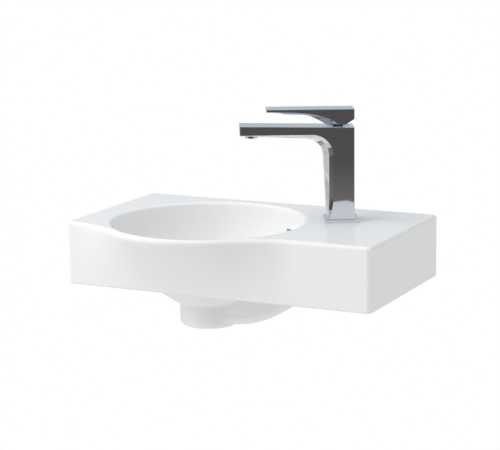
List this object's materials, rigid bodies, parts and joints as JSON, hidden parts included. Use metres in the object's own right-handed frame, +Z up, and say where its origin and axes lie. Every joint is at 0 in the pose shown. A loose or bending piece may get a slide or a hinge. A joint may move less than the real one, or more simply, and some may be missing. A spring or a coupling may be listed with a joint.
{
  "type": "wall hung basin",
  "caption": "Small wall hung ceramic basin with an offset round bowl, a push-open waste and a single lever mixer tap on the deck.",
  "frame": {"origin": "on the wall face of the ceramic, midway between the two wall fixing holes", "axes": "+X along the wall to the right of someone who stands at the basin, +Y into the wall, +Z up"},
  "size_m": [0.45, 0.2948, 0.2993],
  "materials": {
    "glaze": "gloss",
    "chrome": "polished",
    "brass": "machined",
    "zinc_steel": "plated",
    "seal_rubber": "matte",
    "disc_ceramic": "lapped",
    "white_plastic": "moulded",
    "grey_plastic": "moulded"
  },
  "bodies": {
    "casting": {"basin": "glaze", "waste_body": "chrome", "waste_flange_seal": "seal_rubber", "waste_lower_seal": "seal_rubber", "waste_slip_washer": "white_plastic", "waste_backnut": "brass", "plug_guide": "white_plastic", "tap_body": "chrome", "tap_base_plate": "chrome", "tap_base_gasket": "seal_rubber", "tap_stud": "zinc_steel", "clamp_gasket": "seal_rubber", "clamp_washer": "zinc_steel", "clamp_nut": "brass", "aerator_housing": "chrome", "aerator_insert": "grey_plastic", "aerator_gasket": "seal_rubber", "cartridge_base": "white_plastic", "cartridge_port_seals": "seal_rubber", "fixed_disc": "disc_ceramic", "cartridge_housing": "white_plastic", "cartridge_ring_nut": "brass", "cartridge_dome_ring": "chrome"},
    "carrier": {"spindle_carrier": "grey_plastic", "spindle_pin": "zinc_steel"},
    "lever_arm": {"lever": "chrome", "lever_grub_screw": "zinc_steel", "lever_index_cap": "chrome", "spindle": "brass"},
    "mixing_disc": {"moving_disc": "disc_ceramic", "disc_driver": "white_plastic"},
    "plug": {"plug_cap": "chrome", "plug_seal": "seal_rubber", "plug_stem": "zinc_steel"}
  },
  "joints": [
    {"name": "lever_swivel", "type": "hinge", "parent": "casting", "child": "carrier", "pos_m": [0.11628, -0.0831, 0.1639], "axis": [0, 0, 1], "range_deg": [-45, 45]},
    {"name": "lever_lift", "type": "hinge", "parent": "carrier", "child": "lever_arm", "pos_m": [0.11628, -0.0831, 0.1639], "axis": [-0.4695, 0.8829, 0], "range_deg": [0, 18]},
    {"name": "disc_slide", "type": "slide", "parent": "carrier", "child": "mixing_disc", "axis": [-0.8829, -0.4695, 0], "range_m": [0, 0.0032]},
    {"name": "plug_press", "type": "slide", "parent": "casting", "child": "plug", "axis": [0, 0, 1], "range_m": [-0.009, 0]}
  ],
  "couplings": [
    {"joint": "disc_slide", "follows": "lever_lift", "m_per_rad": 0.01}
  ]
}
